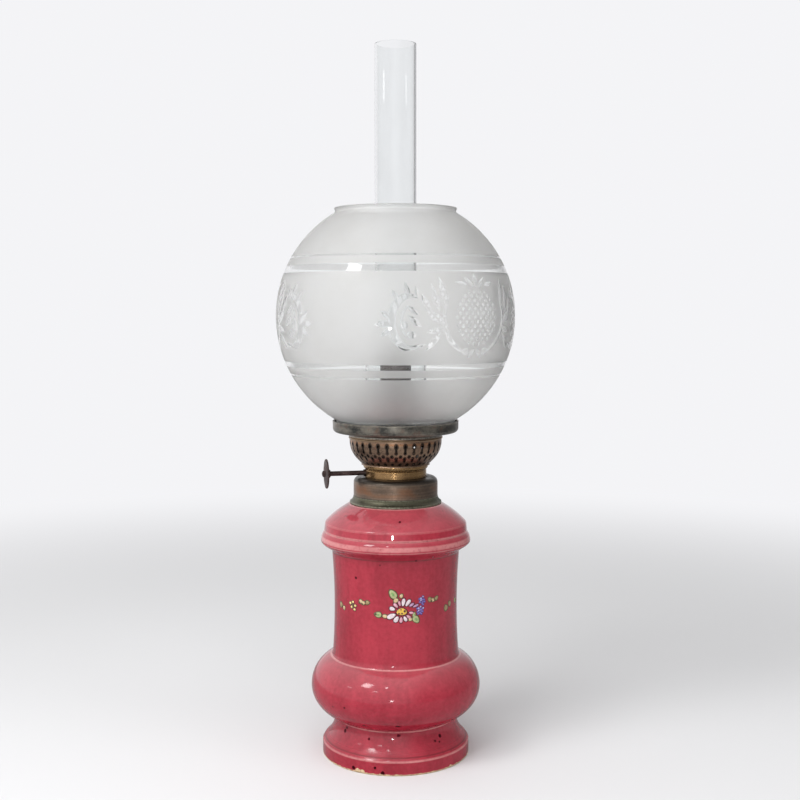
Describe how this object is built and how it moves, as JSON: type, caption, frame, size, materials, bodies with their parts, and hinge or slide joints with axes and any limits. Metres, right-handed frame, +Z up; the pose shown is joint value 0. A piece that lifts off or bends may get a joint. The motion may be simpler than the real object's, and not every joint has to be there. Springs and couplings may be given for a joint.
{
  "type": "porcelain oil lamp",
  "caption": "Table oil lamp: glazed porcelain stand, drop-in oil container, round-wick burner with a winder knob, perforated gallery, frosted ball shade and tall clear glass chimney.",
  "frame": {"origin": "middle of the foot's underside, on the surface that the lamp stands on", "axes": "+Z up along the lamp's axis; the winder's knob points to -X"},
  "size_m": [0.1972, 0.1972, 0.5881],
  "materials": {
    "porcelain_glaze": "glossy glaze",
    "plaster": "matte",
    "collar_verdigris": "dull, green patina",
    "font_metal": "dull",
    "cap_patina": "dull, brown and grey patina",
    "washer_leather": "matte",
    "burner_brass": "worn satin",
    "dark_brass": "dark patina",
    "basket_brass": "brown patina, copper glints",
    "packing": "matte",
    "wick_cotton": "woven",
    "shade_ring_metal": "dark grey-green patina",
    "frosted_glass": "etched, clear bands and ornament",
    "clear_glass": "clear"
  },
  "bodies": {
    "lamp_base": {"porcelain_body": "porcelain_glaze", "plaster_bed": "plaster", "collar_ring": "collar_verdigris"},
    "font": {"oil_font": "font_metal", "font_cap": "cap_patina", "font_socket": "burner_brass"},
    "washer": {"burner_washer": "washer_leather"},
    "burner": {"burner_plug": "burner_brass", "wick_housing": "burner_brass", "housing_cover": "burner_brass", "wick_tube": "dark_brass", "draught_tube": "dark_brass", "rack_guide": "burner_brass", "spindle_bearing": "burner_brass", "spindle_gland": "dark_brass", "gland_packing": "packing", "basket": "basket_brass", "gallery_plate": "basket_brass", "chimney_prongs": "burner_brass"},
    "winder": {"spindle": "dark_brass", "wick_pinion": "burner_brass", "wick_knob": "dark_brass", "knob_nut": "dark_brass"},
    "wick_lift": {"wick": "wick_cotton", "wick_carrier": "burner_brass", "wick_rack": "burner_brass"},
    "chimney": {"chimney": "clear_glass"},
    "shade_ring": {"shade_ring": "shade_ring_metal"},
    "globe": {"globe": "frosted_glass"}
  },
  "joints": [
    {"name": "font_lift", "type": "slide", "parent": "lamp_base", "child": "font", "axis": [0, 0, 1], "range_m": [0, 0.115]},
    {"name": "burner_rise", "type": "slide", "parent": "font", "child": "washer", "axis": [0, 0, 1], "range_m": [0, 0.00931]},
    {"name": "burner_turn", "type": "hinge", "parent": "washer", "child": "burner", "pos_m": [0, 0, 0.23433], "axis": [0, 0, 1], "range_deg": [0, 2232]},
    {"name": "knob_turn", "type": "hinge", "parent": "burner", "child": "winder", "pos_m": [-0.03, 0, 0.23733], "axis": [1, 0, 0], "range_deg": [-294, 130]},
    {"name": "wick_raise", "type": "slide", "parent": "burner", "child": "wick_lift", "axis": [0, 0, 1], "range_m": [-0.018, 0.008]},
    {"name": "chimney_lift", "type": "slide", "parent": "burner", "child": "chimney", "axis": [0, 0, 1], "range_m": [0, 0.2]},
    {"name": "shade_ring_lift", "type": "slide", "parent": "burner", "child": "shade_ring", "axis": [0, 0, 1], "range_m": [0, 0.325]},
    {"name": "globe_lift", "type": "slide", "parent": "shade_ring", "child": "globe", "axis": [0, 0, 1], "range_m": [0, 0.32]}
  ],
  "couplings": [
    {"joint": "wick_raise", "follows": "knob_turn", "m_per_rad": 0.0035},
    {"joint": "burner_rise", "follows": "burner_turn", "m_per_rad": 0.00023873}
  ]
}
